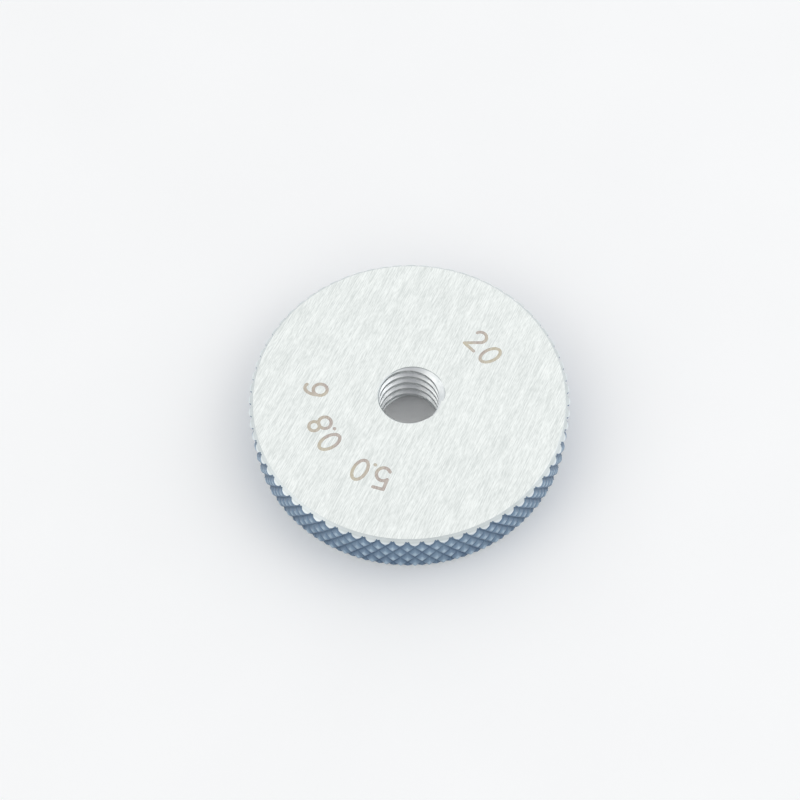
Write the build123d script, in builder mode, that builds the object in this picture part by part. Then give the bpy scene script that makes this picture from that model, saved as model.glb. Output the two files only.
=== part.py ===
"""M5 thread ring gauge: one knurled steel disc with a threaded bore.

The ring stands on its lower face, with +Z up its bore.  The origin is on the axis, in the lower face.
Lengths are in millimetres.  The bore is left at the thread's minor diameter.
"""
from build123d import *
import math
import os

# ---- driving dimensions ---------------------------------------------------------------------------
outer_diameter = 22.0       # over the crests of the knurl
thickness = 4.0             # from ground face to ground face
rim_chamfer = 0.33          # at 45 degrees, outside, on both faces

thread_diameter = 5.0       # nominal diameter of the thread that the ring checks
thread_pitch = 0.8
mouth_chamfer = 0.08        # at 45 degrees, at both ends of the bore: little more than a broken edge

knurl_teeth = 71            # grooves of each hand, counted round the rim
knurl_angle = 32.0          # of the grooves to the axis, in both hands
knurl_depth = 0.21          # from the crests down to the bottom of the grooves
knurl_crest = 0.35          # width of each pyramid's blunt crest, as a share of its foot
top_crossings = 3.725       # height of the uppermost crossings of the grooves

# ---- what follows from them -----------------------------------------------------------------------
tip_radius = outer_diameter / 2
valley_radius = tip_radius - knurl_depth
apex_radius = valley_radius + knurl_depth / (1 - knurl_crest)   # where the pyramids would come to a point
thread_triangle = thread_pitch * math.cos(math.radians(30))     # height of the thread's 60 degree triangle
thread_depth = thread_triangle * 5 / 8                          # as ISO metric threads are cut
minor_radius = thread_diameter / 2 - thread_depth
half_tooth = math.pi / knurl_teeth

# ---- the knurled bar ------------------------------------------------------------------------------
# Grooves of two hands cross and leave blunt pyramids between them.  In each row, round the bar,
# crossings and pyramids take turns, half a tooth apart.  One row up they have changed places, and the
# bottom of each groove joins a crossing in one row to a crossing in the next.
row_height = tip_radius * math.sin(half_tooth) / math.tan(math.radians(knurl_angle))
lowest_row = -math.floor(top_crossings / row_height) - 1
highest_row = math.floor((thickness - top_crossings) / row_height) + 1
around = 2 * knurl_teeth


def is_crossing(step, row):
    return (step + row) % 2 == 0


def lattice_point(step, row):
    radius = valley_radius if is_crossing(step, row) else apex_radius
    return Vector(
        radius * math.cos(half_tooth * step),
        radius * math.sin(half_tooth * step),
        top_crossings + row_height * row,
    )


def crest_point(apex, crossing):
    return apex + (crossing - apex) * knurl_crest


def flat_face(*corners):
    return Face(Wire.make_polygon(corners))


facets = []
rims = {lowest_row: [], highest_row: []}
for row in range(lowest_row, highest_row + 1):
    for step in range(around):
        here = lattice_point(step, row)
        if is_crossing(step, row):
            if row in rims:
                rims[row].append(here)
            continue
        before, after = lattice_point(step - 1, row), lattice_point(step + 1, row)
        left, right = crest_point(here, before), crest_point(here, after)
        if row in rims:
            rims[row] += [left, right]
        for onward in (-1, 1):
            if lowest_row <= row + onward <= highest_row:
                beyond = lattice_point(step, row + onward)
                top = crest_point(here, beyond)
                facets += [
                    flat_face(before, left, top, beyond),
                    flat_face(after, right, top, beyond),
                    flat_face(left, right, top),
                ]
for rim in rims.values():
    facets.append(flat_face(*rim))
knurled_bar = Solid(Shell(facets))

# ---- the ring: the bar faced to length, chamfered and bored ---------------------------------------
clear_radius = tip_radius + knurl_depth     # outside the bar's crests

with BuildPart() as gauge_ring:
    with BuildSketch(Plane.XZ):
        with BuildLine():
            Polyline(
                (minor_radius, mouth_chamfer),
                (minor_radius + mouth_chamfer, 0),
                (tip_radius - rim_chamfer, 0),
                (clear_radius, rim_chamfer + knurl_depth),
                (clear_radius, thickness - rim_chamfer - knurl_depth),
                (tip_radius - rim_chamfer, thickness),
                (minor_radius + mouth_chamfer, thickness),
                (minor_radius, thickness - mouth_chamfer),
                close=True,
            )
        make_face()
    revolve(axis=Axis.Z)
    add(knurled_bar, mode=Mode.INTERSECT)

gauge_ring.part.label = "gauge_ring"
os.makedirs("parts", exist_ok=True)
export_step(gauge_ring.part, "parts/gauge_ring.step")
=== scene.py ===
import math

import bmesh
import bpy
from mathutils import Matrix, Vector


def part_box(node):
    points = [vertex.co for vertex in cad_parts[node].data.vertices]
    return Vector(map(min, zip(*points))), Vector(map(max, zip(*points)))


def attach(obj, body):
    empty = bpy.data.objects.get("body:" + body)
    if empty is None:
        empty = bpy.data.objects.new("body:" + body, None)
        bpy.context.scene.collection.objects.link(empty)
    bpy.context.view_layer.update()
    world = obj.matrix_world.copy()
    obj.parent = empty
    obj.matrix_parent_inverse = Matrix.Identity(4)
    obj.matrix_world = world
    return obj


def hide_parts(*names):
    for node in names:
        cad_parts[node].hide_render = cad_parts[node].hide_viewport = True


# Looks of an M5 thread ring gauge: one disc of hardened steel, ground on both faces, knurled round the
# rim and threaded through the middle.  The disc is built in millimetres, about the bore's axis, and
# brought to metres at the end.

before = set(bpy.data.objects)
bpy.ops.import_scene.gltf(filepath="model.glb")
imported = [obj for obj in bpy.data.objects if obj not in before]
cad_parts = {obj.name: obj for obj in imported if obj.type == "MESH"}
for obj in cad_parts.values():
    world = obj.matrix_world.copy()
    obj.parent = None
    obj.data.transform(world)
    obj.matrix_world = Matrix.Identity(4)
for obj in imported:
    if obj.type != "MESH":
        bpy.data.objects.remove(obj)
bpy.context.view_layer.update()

# ---- sizes, in millimetres ------------------------------------------------------------------------
mm = 0.001
ring_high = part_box("gauge_ring")[1]
tip_radius = ring_high[0] / mm          # over the crests of the knurl
thickness = ring_high[2] / mm
rim_chamfer = 0.33
mouth_chamfer = 0.08
edge_break = 0.012                      # the stone's touch on every turned corner

knurl_teeth = 71
knurl_angle = math.radians(32)
knurl_depth = 0.21
knurl_crest = 0.35                      # width of each pyramid's blunt crest, as a share of its foot
crest_rounding = 0.3                    # of the crest's shoulder, as a share of the way up from a groove
top_crossings = 3.725                   # height of the uppermost crossings of the grooves

thread_pitch = 0.8
thread_crest = 0.28                     # width of each crest, along the bore
thread_flank = math.radians(30)         # of each side of the thread, from square to the bore
major_radius = 2.5
minor_radius = 2.067
mouth_at_zero = -0.07                   # height of the thread groove above the upper face, at angle 0
lip_radius = 2.24                       # of the thin lip that the thread runs out under
lip_height = 0.07
lip_from, lip_to = -100, -11            # degrees round the bore
relief_to = 45                          # from the lip's end to here, the feather edge is cut away
relief_short = 0.01                     # how far the relief stays inside the major radius
relief_flare = 0.8                      # how far it leans outward, for each mm of height
relief_corner = 0.14                    # rounding of its corner beside the lip
relief_corner_turn = 16                 # degrees that the rounding takes
relief_closing = 0.0009                 # how far it closes in with each degree past relief_closing_from
relief_closing_from = 10
past_edge = 0.1                         # how far, at least, a thread tool reaches past what it cuts

mark_depth = 0.01
mark_height = 1.78                      # over the strokes
mark_stroke = 0.23


# ---- materials ------------------------------------------------------------------------------------
# Sockets that share a name with others on the same node are told apart by number: those of a mix node,
# and the two operands of a vector-math node.
SHARE, VALUE_A, VALUE_B, COLOUR_A, COLOUR_B = 0, 2, 3, 6, 7
MIXED_VALUE, MIXED_COLOUR = 0, 2
FIRST, SECOND = 0, 1


def from_hex(text):
    """An sRGB colour written as hex, as linear red, green, blue and alpha."""
    channels = [int(text[i:i + 2], 16) / 255 for i in (1, 3, 5)]
    return [c / 12.92 if c <= 0.04045 else ((c + 0.055) / 1.055) ** 2.4 for c in channels] + [1]


def add_node(tree, kind, inputs=None, **settings):
    """Adds a node.  inputs gives each named or numbered input a value or another node's output."""
    node = tree.nodes.new(kind)
    for name, value in settings.items():
        setattr(node, name, value)
    for name, value in (inputs or {}).items():
        if isinstance(value, bpy.types.NodeSocket):
            tree.links.new(value, node.inputs[name])
        else:
            node.inputs[name].default_value = value
    return node


def new_finish(name, metallic=1.0):
    """A material for one finish, with its node tree and its object coordinates."""
    material = bpy.data.materials.new(name)
    material.use_nodes = True
    tree = material.node_tree
    tree.nodes["Principled BSDF"].inputs["Metallic"].default_value = metallic
    place = add_node(tree, "ShaderNodeTexCoord").outputs["Object"]
    return material, tree, place


def lay_on(tree, colour, tone, span, roughness, height, depth):
    """Gives the finish its colour, its relief, depth mm high, and a roughness that goes from the first to
    the second of the two given while tone crosses span."""
    shader = tree.nodes["Principled BSDF"]
    dullness = add_node(
        tree,
        "ShaderNodeMapRange",
        {
            "Value": tone,
            "From Min": span[0],
            "From Max": span[1],
            "To Min": roughness[0],
            "To Max": roughness[1],
        },
    )
    relief = add_node(tree, "ShaderNodeBump", {"Height": height, "Distance": depth * mm})
    tree.links.new(colour, shader.inputs["Base Color"])
    tree.links.new(dullness.outputs["Result"], shader.inputs["Roughness"])
    tree.links.new(relief.outputs["Normal"], shader.inputs["Normal"])


def fade(tree, value, span, before, after, most=1.0):
    """A colour that leaves before for after while value crosses span, and has gone most of the way there
    at its end."""
    share = add_node(
        tree,
        "ShaderNodeMapRange",
        {"Value": value, "From Min": span[0], "From Max": span[1], "To Max": most},
    )
    colour = add_node(
        tree,
        "ShaderNodeMix",
        {SHARE: share.outputs["Result"], COLOUR_A: before, COLOUR_B: after},
        data_type="RGBA",
    )
    return colour.outputs[MIXED_COLOUR]


def scratches(tree, place, direction, length, width):
    """Light and dark strokes of this length and width in mm, drawn one way over the face."""
    through = 5                         # in mm: how slowly the strokes change with height
    turned = add_node(
        tree, "ShaderNodeVectorRotate", {"Vector": place, "Angle": -direction}, rotation_type="Z_AXIS"
    )
    scale = (1 / (length * mm), 1 / (width * mm), 1 / (through * mm))
    drawn_out = add_node(
        tree,
        "ShaderNodeVectorMath",
        {FIRST: turned.outputs["Vector"], SECOND: scale},
        operation="MULTIPLY",
    )
    strokes = add_node(
        tree,
        "ShaderNodeTexNoise",
        {"Vector": drawn_out.outputs["Vector"], "Scale": 1.0, "Detail": 2.0},
    )
    return strokes.outputs["Fac"]


def from_axis(tree, place):
    """Distance from the bore's axis."""
    level = add_node(
        tree, "ShaderNodeVectorMath", {FIRST: place, SECOND: (1, 1, 0)}, operation="MULTIPLY"
    )
    radius = add_node(
        tree, "ShaderNodeVectorMath", {FIRST: level.outputs["Vector"]}, operation="LENGTH"
    )
    return radius.outputs["Value"]


grinding = math.radians(64.3)           # direction of the grinder's strokes on the faces


def ground_steel():
    """Hardened steel from a surface grinder: bright and satin, with straight scratches all one way.  Real
    ones are finer; these are as coarse as they need to be to show."""
    material, tree, place = new_finish("surface_ground_steel")
    short = scratches(tree, place, grinding, length=0.42, width=0.065)
    long = scratches(tree, place, grinding, length=2.2, width=0.075)
    cloud = scratches(tree, place, grinding, length=1.6, width=0.6)
    both = add_node(tree, "ShaderNodeMix", {SHARE: 0.48, VALUE_A: short, VALUE_B: long})
    marks = both.outputs[MIXED_VALUE]
    mixed = add_node(tree, "ShaderNodeMix", {SHARE: 0.16, VALUE_A: marks, VALUE_B: cloud})
    tone = mixed.outputs[MIXED_VALUE]
    colour = fade(tree, tone, (0.39, 0.61), from_hex("#DDE2E0"), from_hex("#F9FDFB"))
    lay_on(tree, colour, marks, span=(0.35, 0.65), roughness=(0.46, 0.34), height=marks, depth=0.004)
    return material


def turned_steel():
    """The chamfers: fine rings from the turning tool, greyer than the ground faces.  The knurling wheels
    pushed up the ends of the tongues between the grooves, and a painted highlight lightens them."""
    material, tree, place = new_finish("turned_steel")
    ring_spacing, cloud_size = 0.05 * mm, 0.8 * mm
    # painted highlight: the chamfer is painted lighter near the knurl, on the ends of the tongues
    painted_highlight_radii = (tip_radius - 0.15) * mm, (tip_radius - 0.05) * mm
    radius = from_axis(tree, place)
    ring_noise = add_node(
        tree,
        "ShaderNodeTexNoise",
        {"W": radius, "Scale": 1 / ring_spacing, "Detail": 1.0},
        noise_dimensions="1D",
    )
    rings = ring_noise.outputs["Fac"]
    cloud = add_node(tree, "ShaderNodeTexNoise", {"Vector": place, "Scale": 1 / cloud_size, "Detail": 2.0})
    mixed = add_node(
        tree, "ShaderNodeMix", {SHARE: 0.5, VALUE_A: rings, VALUE_B: cloud.outputs["Fac"]}
    )
    tone = mixed.outputs[MIXED_VALUE]
    turned = fade(tree, tone, (0.36, 0.64), from_hex("#D4DAD9"), from_hex("#E3E8E8"))
    colour = fade(tree, radius, painted_highlight_radii, turned, from_hex("#EFF5F7"), most=0.8)
    lay_on(tree, colour, tone, span=(0.35, 0.65), roughness=(0.48, 0.36), height=rings, depth=0.002)
    return material


def knurled_steel():
    """Steel pressed by knurling wheels: bluish grey, partly its own tint and partly a painted reflection of
    blue surroundings, with painted shade in the grooves and a painted highlight on the middle of each
    crest."""
    material, tree, place = new_finish("knurled_hardened_steel")
    grain_size, cloud_size = 0.12 * mm, 1.4 * mm
    radius = from_axis(tree, place)
    grain = add_node(tree, "ShaderNodeTexNoise", {"Vector": place, "Scale": 1 / grain_size, "Detail": 3.0})
    pits = grain.outputs["Fac"]
    cloud = add_node(tree, "ShaderNodeTexNoise", {"Vector": place, "Scale": 1 / cloud_size, "Detail": 2.0})
    height = add_node(
        tree,
        "ShaderNodeMapRange",
        {"Value": radius, "From Min": (tip_radius - knurl_depth) * mm, "From Max": tip_radius * mm},
    )
    # height over the grooves, with a little grain, drives the painted shade and highlight below
    mixed = add_node(
        tree, "ShaderNodeMix", {SHARE: 0.2, VALUE_A: height.outputs["Result"], VALUE_B: pits}
    )
    height_with_pits = mixed.outputs[MIXED_VALUE]
    # painted shade: darker towards the grooves; these blues also paint a reflection of blue surroundings
    painted_groove_shade = fade(tree, height_with_pits, (0.1, 0.6), from_hex("#5D728A"), from_hex("#879CB2"))
    # painted highlight: near white on the middle of each crest
    painted_crest_highlight = fade(tree, height_with_pits, (0.68, 0.92), painted_groove_shade, from_hex("#C1D6E5"))
    colour = fade(tree, cloud.outputs["Fac"], (0.4, 0.65), painted_crest_highlight, from_hex("#90A6B6"), most=0.25)
    lay_on(tree, colour, height_with_pits, span=(0.1, 0.9), roughness=(0.5, 0.34), height=pits, depth=0.005)
    return material


def threaded_steel():
    """The lapped thread: bright flanks with faint lines along the turns, and painted shade along the edge
    at the mouth.
    Real lapping lines are finer; these are as coarse as they need to be to show."""
    material, tree, place = new_finish("lapped_thread_steel")
    line_length, line_spacing, cloud_size = 0.5 * mm, 0.04 * mm, 0.6 * mm
    # heights of the painted shade round the mouth, just under the upper face
    mouth = (thickness - 0.045) * mm, (thickness - 0.015) * mm
    scale = (1 / line_length, 1 / line_length, 1 / line_spacing)
    along = add_node(tree, "ShaderNodeVectorMath", {FIRST: place, SECOND: scale}, operation="MULTIPLY")
    line_noise = add_node(
        tree, "ShaderNodeTexNoise", {"Vector": along.outputs["Vector"], "Scale": 1.0, "Detail": 2.0}
    )
    lines = line_noise.outputs["Fac"]
    cloud = add_node(tree, "ShaderNodeTexNoise", {"Vector": place, "Scale": 1 / cloud_size, "Detail": 2.0})
    mixed = add_node(
        tree, "ShaderNodeMix", {SHARE: 0.5, VALUE_A: lines, VALUE_B: cloud.outputs["Fac"]}
    )
    tone = mixed.outputs[MIXED_VALUE]
    lapped = fade(tree, tone, (0.36, 0.64), from_hex("#E2E6E7"), from_hex("#F7F9F9"))
    height = add_node(tree, "ShaderNodeSeparateXYZ", {"Vector": place}).outputs["Z"]
    # painted shade: a thin dark edge painted on the flanks just under the upper face
    colour = fade(tree, height, mouth, lapped, from_hex("#939B9A"), most=0.75)
    lay_on(tree, colour, tone, span=(0.35, 0.65), roughness=(0.46, 0.34), height=lines, depth=0.002)
    return material


def etched_steel():
    """Steel browned by electric etching: dull, between grey brown and straw."""
    material, tree, place = new_finish("etched_steel", metallic=0.7)
    stain_size = 1.8 * mm
    stain = add_node(tree, "ShaderNodeTexNoise", {"Vector": place, "Scale": 1 / stain_size, "Detail": 1.0})
    grain = scratches(tree, place, grinding, length=0.3, width=0.08)
    brown = fade(tree, stain.outputs["Fac"], (0.4, 0.6), from_hex("#BCAFA9"), from_hex("#CBC3AE"))
    colour = fade(tree, grain, (0.35, 0.65), brown, from_hex("#DAD5CC"), most=0.5)
    lay_on(tree, colour, grain, span=(0.35, 0.65), roughness=(0.62, 0.5), height=grain, depth=0.004)
    return material


def floor_paper():
    """Smooth white paper under the gauge: matt, with the faintest cloudiness."""
    material, tree, place = new_finish("white_paper", metallic=0.0)
    cloud_size, fibre_size = 14 * mm, 0.3 * mm
    cloud_noise = add_node(
        tree, "ShaderNodeTexNoise", {"Vector": place, "Scale": 1 / cloud_size, "Detail": 2.0}
    )
    cloud = cloud_noise.outputs["Fac"]
    fibre_noise = add_node(
        tree, "ShaderNodeTexNoise", {"Vector": place, "Scale": 1 / fibre_size, "Detail": 2.0}
    )
    fibre = fibre_noise.outputs["Fac"]
    colour = fade(tree, cloud, (0, 1), from_hex("#FBFBFB"), from_hex("#FFFFFF"))
    lay_on(tree, colour, cloud, span=(0.3, 0.7), roughness=(0.75, 0.9), height=fibre, depth=0.003)
    return material


GROUND, TURNED, KNURLED, THREADED, ETCHED = range(5)
finishes = [ground_steel(), turned_steel(), knurled_steel(), threaded_steel(), etched_steel()]


# ---- meshes ---------------------------------------------------------------------------------------
def solid_object(name, vertices, faces, finish):
    """A closed mesh with its faces turned outward, all of one finish or each of its own."""
    mesh = bpy.data.meshes.new(name)
    mesh.from_pydata(vertices, [], faces)
    for material in finishes:
        mesh.materials.append(material)
    each = finish if isinstance(finish, list) else [finish] * len(faces)
    mesh.polygons.foreach_set("material_index", each)
    shell = bmesh.new()
    shell.from_mesh(mesh)
    bmesh.ops.recalc_face_normals(shell, faces=shell.faces)
    shell.to_mesh(mesh)
    shell.free()
    piece = bpy.data.objects.new(name, mesh)
    bpy.context.collection.objects.link(piece)
    return piece


def combine(body, tool, operation):
    """Unites body with tool, cuts tool from it or keeps what they share.  The tool is used up."""
    cut = body.modifiers.new("cut", "BOOLEAN")
    cut.operation = operation
    cut.solver = "EXACT"
    cut.object = tool
    depsgraph = bpy.context.evaluated_depsgraph_get()
    result = bpy.data.meshes.new_from_object(body.evaluated_get(depsgraph))
    body.modifiers.clear()
    body.data = result
    bpy.data.objects.remove(tool)


def turned_disc():
    """The disc as it leaves the lathe and the grinder, before it is knurled and threaded."""
    steps = 4 * knurl_teeth
    outside = tip_radius + knurl_depth
    rim = tip_radius - rim_chamfer
    mouth = minor_radius + mouth_chamfer
    slant = edge_break / math.sqrt(2)
    half = [
        (minor_radius, mouth_chamfer + edge_break),
        (minor_radius + slant, mouth_chamfer - slant),
        (mouth - slant, slant),
        (mouth + edge_break, 0),
        (rim - edge_break, 0),
        (rim + slant, slant),
        (outside, rim_chamfer + knurl_depth),
    ]
    half_finish = [TURNED, TURNED, TURNED, GROUND, TURNED, TURNED]
    profile = half + [(radius, thickness - height) for radius, height in reversed(half)]
    band_finish = half_finish + [KNURLED] + half_finish[::-1] + [THREADED]
    count = len(profile)
    vertices = []
    faces = []
    for step in range(steps):
        angle = 2 * math.pi * (step + 0.5) / steps      # between the knurl's own divisions
        vertices += [(r * math.cos(angle), r * math.sin(angle), z) for r, z in profile]
        here = step * count
        there = (step + 1) % steps * count
        for i in range(count):
            j = (i + 1) % count
            faces.append((here + i, here + j, there + j, there + i))
    return solid_object("gauge_ring_steel", vertices, faces, band_finish * steps)


def crest_rise(way):
    """How far the knurl has risen, from 0 to 1, on the way from a groove to the middle of a crest.  A
    parabola rounds the shoulder between the facet and the crest."""
    shoulder = 1 - knurl_crest
    into = way - shoulder + crest_rounding
    if into < 0:
        return way / shoulder
    if into > 2 * crest_rounding:
        return 1
    return way / shoulder - into ** 2 / (4 * crest_rounding * shoulder)


def knurled_bar():
    """A bar with grooves of two hands pressed into it.  Each facet is a grid of small faces."""
    fine = 5                            # steps along each side of the grid
    half_tooth = math.pi / knurl_teeth
    row_height = tip_radius * math.sin(half_tooth) / math.tan(knurl_angle)
    lowest_row = -math.floor(top_crossings / row_height) - 1
    highest_row = math.floor((thickness - top_crossings) / row_height) + 1
    around = 2 * knurl_teeth * fine
    levels = range(lowest_row * fine, highest_row * fine + 1)
    vertices = []
    faces = []
    for level in levels:
        for step in range(around):
            across, up = step / fine, level / fine
            one_hand = abs((across - up + 1) % 2 - 1)
            other_hand = abs((across + up + 1) % 2 - 1)
            radius = tip_radius - knurl_depth * (1 - crest_rise(min(one_hand, other_hand)))
            angle = half_tooth * across
            height = top_crossings + row_height * up
            vertices.append((radius * math.cos(angle), radius * math.sin(angle), height))
    for band, level in enumerate(levels[:-1]):
        for step in range(around):
            low, low_next = band * around + step, band * around + (step + 1) % around
            high, high_next = low + around, low_next + around
            if (step // fine + level // fine) % 2 == 0:
                faces += [(low, low_next, high_next), (low, high_next, high)]
            else:
                faces += [(low, low_next, high), (low_next, high_next, high)]
    last_band = len(levels) - 1
    faces.append(tuple(range(around)))
    faces.append(tuple(range(last_band * around, (last_band + 1) * around)))
    return solid_object("knurled_bar", vertices, faces, KNURLED)


def even_parts(start, end, count):
    """Where each of count equal parts of the way from start to end begins."""
    return [start + (end - start) * i / count for i in range(count)]


def thread_tap():
    """A right-hand screw whose ridge cuts the bore's thread.  Its columns follow the thread's edges."""
    root_parts, parts, layers_a_turn = 2, 14, 48        # parts: of each flank and of the crest
    half_groove = (thread_pitch - thread_crest) / 2 / thread_pitch
    flank = (major_radius - minor_radius) * math.tan(thread_flank) / thread_pitch
    half_root = half_groove - flank
    inward = even_parts(major_radius, minor_radius, parts)
    outward = even_parts(minor_radius, major_radius, parts)
    columns = [(turn, major_radius) for turn in even_parts(-half_root, half_root, root_parts)]
    columns += zip(even_parts(half_root, half_groove, parts), inward)
    columns += [(turn, minor_radius) for turn in even_parts(half_groove, 1 - half_groove, parts)]
    columns += zip(even_parts(1 - half_groove, 1 - half_root, parts), outward)
    layers = (math.ceil(thickness / thread_pitch) + 2) * layers_a_turn
    around = len(columns)
    vertices = []
    faces = []
    for layer in range(layers + 1):
        z = thread_pitch * (layer / layers_a_turn - 1)
        groove = (z - thickness - mouth_at_zero) / thread_pitch
        for turn, radius in columns:
            angle = 2 * math.pi * (groove + turn)
            vertices.append((radius * math.cos(angle), radius * math.sin(angle), z))
    for layer in range(layers):
        for step in range(around):
            low, low_next = layer * around + step, layer * around + (step + 1) % around
            faces.append((low, low_next, low_next + around, low + around))
    faces.append(tuple(range(around)))
    faces.append(tuple(range(layers * around, (layers + 1) * around)))
    return solid_object("thread_tap", vertices, faces, THREADED)


def bore_sector(name, sections):
    """A closed body swept round the bore's axis through (degrees, four points of radius and height)."""
    corners = 4
    vertices = []
    faces = []
    for degrees, section in sections:
        angle = math.radians(degrees)
        vertices += [(r * math.cos(angle), r * math.sin(angle), z) for r, z in section]
    for i in range(len(sections) - 1):
        here, there = corners * i, corners * (i + 1)
        for j in range(corners):
            k = (j + 1) % corners
            faces.append((here + j, here + k, there + k, there + j))
    faces.append(tuple(range(corners)))
    faces.append(tuple(range(len(vertices) - corners, len(vertices))))
    return solid_object(name, vertices, faces, THREADED)


def first_turn_lip():
    """The thin lip over the end of the groove, where the thread runs out under the upper face."""
    parts = 16
    low, high = thickness - lip_height, thickness + 2 * thread_pitch
    outside = major_radius + past_edge
    section = [(lip_radius, low), (outside, low), (outside, high), (lip_radius, high)]
    around = even_parts(lip_from, lip_to, parts) + [lip_to]
    return bore_sector("first_turn_lip", [(degrees, section) for degrees in around])


def first_turn_relief():
    """The cut that takes the feather edge off the first turn, from the lip's end on."""
    parts = 14
    inside, high = minor_radius - 2 * past_edge, thickness + past_edge
    sections = []
    for degrees in even_parts(lip_to, relief_to, parts):
        groove = thickness + mouth_at_zero + thread_pitch * degrees / 360
        rounded = relief_corner * (1 - min(1, (degrees - lip_to) / relief_corner_turn)) ** 2
        closing = relief_closing * max(0, degrees - relief_closing_from)
        mouth = major_radius - relief_short - rounded - closing
        foot = mouth - relief_flare * (thickness - groove)
        head = mouth + relief_flare * (high - thickness)
        sections.append((degrees, [(inside, groove), (foot, groove), (head, high), (inside, high)]))
    return bore_sector("first_turn_relief", sections)


# ---- etched numbers -------------------------------------------------------------------------------
# Each figure is a few strokes on a centre line, in parts of its height, with the origin in its middle.
def bow(x, y, across, up, start, end):
    """An arc of an ellipse from start to end, in degrees."""
    step, fewest = 12, 4                # degrees to a part, and the fewest parts
    count = max(fewest, round(abs(end - start) / step))
    angles = [math.radians(start + (end - start) * i / count) for i in range(count + 1)]
    return [(x + across * math.cos(a), y + up * math.sin(a)) for a in angles]


def figure_strokes(figure):
    """The open strokes and the closed loops of one figure.  Strokes meet at each sharp corner."""
    top = 0.5 - mark_stroke / mark_height / 2
    if figure == "0":
        return [], [bow(0, 0, 0.25, top, 0, 360)[:-1]]
    if figure == "2":
        neck = bow(0, top - 0.24, 0.24, 0.24, 165, -38) + [(-0.25, -top)]
        return [neck, [(-0.25, -top), (0.27, -top)]], []
    if figure == "5":
        bowl = bow(-0.01, -top + 0.27, 0.26, 0.27, 140, -145)
        return [[(0.22, top), (-0.18, top)], [(-0.18, top), bowl[0]], bowl], []
    if figure == "6":
        return [bow(0.06, -0.14, 0.31, top + 0.14, 62, 168)], [bow(0, -top + 0.27, 0.25, 0.27, 0, 360)[:-1]]
    if figure == "8":
        return [], [bow(0, top - 0.2, 0.2, 0.2, 0, 360)[:-1], bow(0, -top + 0.24, 0.25, 0.24, 0, 360)[:-1]]
    return [[(-0.01, -top), (0.01, -top)]], []       # the decimal point


def offset_line(line, half, closed):
    """The points of a line moved to its left by half a stroke."""
    count = len(line)
    moved = []
    for i, point in enumerate(line):
        before = line[i - 1] if i or closed else point
        after = line[(i + 1) % count] if i < count - 1 or closed else point
        into = (Vector(point) - Vector(before)).normalized() if before != point else None
        out = (Vector(after) - Vector(point)).normalized() if after != point else None
        along = ((into or out) + (out or into)).normalized()
        mitre = half / along.dot(out or into)
        moved.append(Vector(point) + mitre * Vector((-along.y, along.x)))
    return moved


def stroke_prism(line, closed):
    """One stroke as a shallow prism through the upper face, in the figure's own place.  An open one has
    round ends."""
    end_parts = 6
    line = [(x * mark_height, y * mark_height) for x, y in line]
    half = mark_stroke / 2
    left = offset_line(line, half, closed)
    right = [2 * Vector(point) - moved for point, moved in zip(line, left)]
    low, high = thickness - mark_depth, thickness + mark_depth
    if closed:
        count = len(line)
        vertices = [(*point, z) for z in (low, high) for side in (left, right) for point in side]
        faces = []
        for i in range(count):
            j = (i + 1) % count
            faces.append((i, j, count + j, count + i))
            faces.append((2 * count + i, 2 * count + j, 3 * count + j, 3 * count + i))
            faces.append((i, j, 2 * count + j, 2 * count + i))
            faces.append((count + i, count + j, 3 * count + j, 3 * count + i))
        return solid_object("stroke", vertices, faces, ETCHED)
    outline = list(left)
    for centre, start in ((line[-1], left[-1]), (line[0], right[0])):
        arm = start - Vector(centre)
        for i in range(1, end_parts):
            turn = Matrix.Rotation(-math.pi * i / end_parts, 2)
            outline.append(Vector(centre) + turn @ arm)
        if centre == line[-1]:
            outline += list(reversed(right))
    count = len(outline)
    vertices = [(*point, z) for z in (low, high) for point in outline]
    faces = [tuple(range(count)), tuple(range(count, 2 * count))]
    faces += [(i, (i + 1) % count, count + (i + 1) % count, count + i) for i in range(count)]
    return solid_object("stroke", vertices, faces, ETCHED)


def etched_figures():
    """A tool for each figure round the upper face.  Their tops point outward."""
    places = [                          # figure, distance from the axis, degrees round it
        ("5", 6.5, -106.7),
        (".", 6.5, -113.7),
        ("0", 6.5, -120.7),
        ("0", 6.4, -147.2),
        (".", 6.4, -153.9),
        ("8", 6.4, -160.7),
        ("6", 6.4, -185.4),
        ("2", 6.45, 42.3),
        ("0", 6.45, 28.8),
    ]
    for figure, radius, degrees in places:
        angle = math.radians(degrees)
        place = Matrix.Translation((radius * math.cos(angle), radius * math.sin(angle), 0))
        place = place @ Matrix.Rotation(angle - math.pi / 2, 4, "Z")
        strokes, loops = figure_strokes(figure)
        prisms = [stroke_prism(line, False) for line in strokes]
        prisms += [stroke_prism(line, True) for line in loops]
        tool = prisms[0]
        for prism in prisms[1:]:
            combine(tool, prism, "UNION")
        tool.data.transform(place)
        yield tool


# ---- the gauge ------------------------------------------------------------------------------------
def gauge_ring():
    """The whole gauge as one closed mesh: the disc is etched, knurled and threaded in turn."""
    sharp_edge = math.radians(22)       # more than where a crest is rounded, less than in a groove
    disc = turned_disc()
    for figure in etched_figures():
        combine(disc, figure, "DIFFERENCE")
    combine(disc, knurled_bar(), "INTERSECT")
    tap = thread_tap()
    combine(tap, first_turn_lip(), "DIFFERENCE")
    combine(tap, first_turn_relief(), "UNION")
    combine(disc, tap, "DIFFERENCE")
    mesh = disc.data
    mesh.transform(Matrix.Scale(mm, 4))
    mesh.shade_smooth()
    mesh.set_sharp_from_angle(angle=sharp_edge)
    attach(disc, "root")
    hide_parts("gauge_ring")


# ---- floor, light and camera ----------------------------------------------------------------------
def paper_floor():
    """The paper that the gauge lies on."""
    half = 400 * mm
    mesh = bpy.data.meshes.new("floor")
    corners = [(-half, -half, 0), (half, -half, 0), (half, half, 0), (-half, half, 0)]
    mesh.from_pydata(corners, [], [(0, 1, 2, 3)])
    mesh.materials.append(floor_paper())
    floor = bpy.data.objects.new("floor", mesh)
    bpy.context.collection.objects.link(floor)


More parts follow.
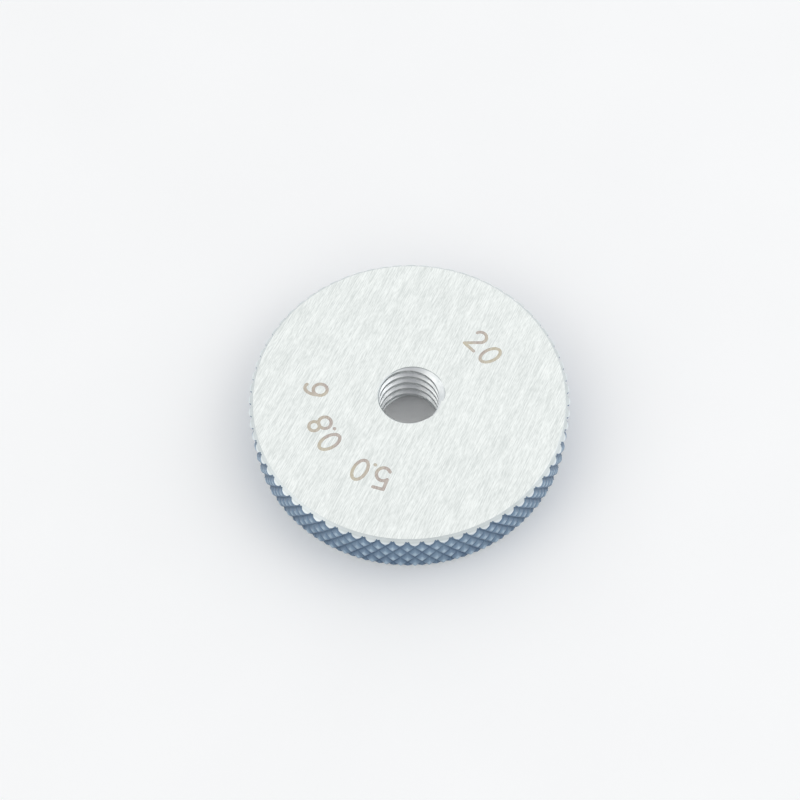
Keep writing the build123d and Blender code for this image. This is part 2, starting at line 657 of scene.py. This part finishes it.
def soft_lamp(name, place, size, power, colour):
    """A square lamp with its face to the gauge.  Its place and size are in mm, its power in watts."""
    light = bpy.data.lights.new(name, "AREA")
    light.shape = "SQUARE"
    light.size = size * mm
    light.energy = power
    light.color = from_hex(colour)[:3]
    lamp = bpy.data.objects.new(name, light)
    lamp.location = Vector(place) * mm
    lamp.rotation_euler = (-Vector(place)).to_track_quat("-Z", "Y").to_euler()
    bpy.context.collection.objects.link(lamp)


def pale_tent():
    """The world: a pale tent with a broad soft panel above and behind, and a dim opening in front."""
    world = bpy.data.worlds.new("pale_tent")
    world.use_nodes = True
    bpy.context.scene.world = world
    tree = world.node_tree
    direction = add_node(tree, "ShaderNodeTexCoord").outputs["Generated"]
    upward = add_node(tree, "ShaderNodeSeparateXYZ", {"Vector": direction}).outputs["Z"]
    light = fade(tree, upward, (0.0, 0.8), from_hex("#E2E6EA"), from_hex("#F4F5F5"))
    # Each patch: the way to its middle, cosines at its edge and its core, its strength and its colour.
    patches = (
        ((0, 0.49, 0.87), (0.7, 0.92), 1.0, "#FFFFFF"),
        ((0, -0.5, 0.87), (0.9, 0.98), 0.75, "#5F5D6B"),
    )
    for towards, span, strength, colour in patches:
        facing = add_node(
            tree, "ShaderNodeVectorMath", {FIRST: direction, SECOND: towards}, operation="DOT_PRODUCT"
        )
        light = fade(tree, facing.outputs["Value"], span, light, from_hex(colour), most=strength)
    background = tree.nodes["Background"]
    tree.links.new(light, background.inputs["Color"])
    background.inputs["Strength"].default_value = 1.0


def camera():
    """Looks down at the ring from the front, about 101 mm away."""
    aim = Vector((-0.6207, -0.2568, 3.874)) * mm
    distance = 101.27 * mm
    elevation = math.radians(60.8)
    swing = math.radians(1.242)
    lean = math.radians(-1.949)
    data = bpy.data.cameras.new("camera")
    data.sensor_width = 36
    data.lens = 66.79
    data.clip_start = 0.005
    data.clip_end = 5
    level = Vector((math.sin(swing), -math.cos(swing), 0))
    place = aim + distance * (math.cos(elevation) * level + math.sin(elevation) * Vector((0, 0, 1)))
    look = (aim - place).to_track_quat("-Z", "Y").to_matrix() @ Matrix.Rotation(lean, 3, "Z")
    viewer = bpy.data.objects.new("camera", data)
    viewer.matrix_world = Matrix.Translation(place) @ look.to_4x4()
    bpy.context.collection.objects.link(viewer)
    bpy.context.scene.camera = viewer


gauge_ring()
paper_floor()
pale_tent()
soft_lamp("key_lamp", (-260, -100, 180), 220, 0.1, "#FFFDF8")
soft_lamp("fill_lamp", (230, 20, 200), 200, 0.1, "#FBFCFF")
camera()
bpy.context.scene.view_settings.view_transform = "Standard"
bpy.context.view_layer.update()
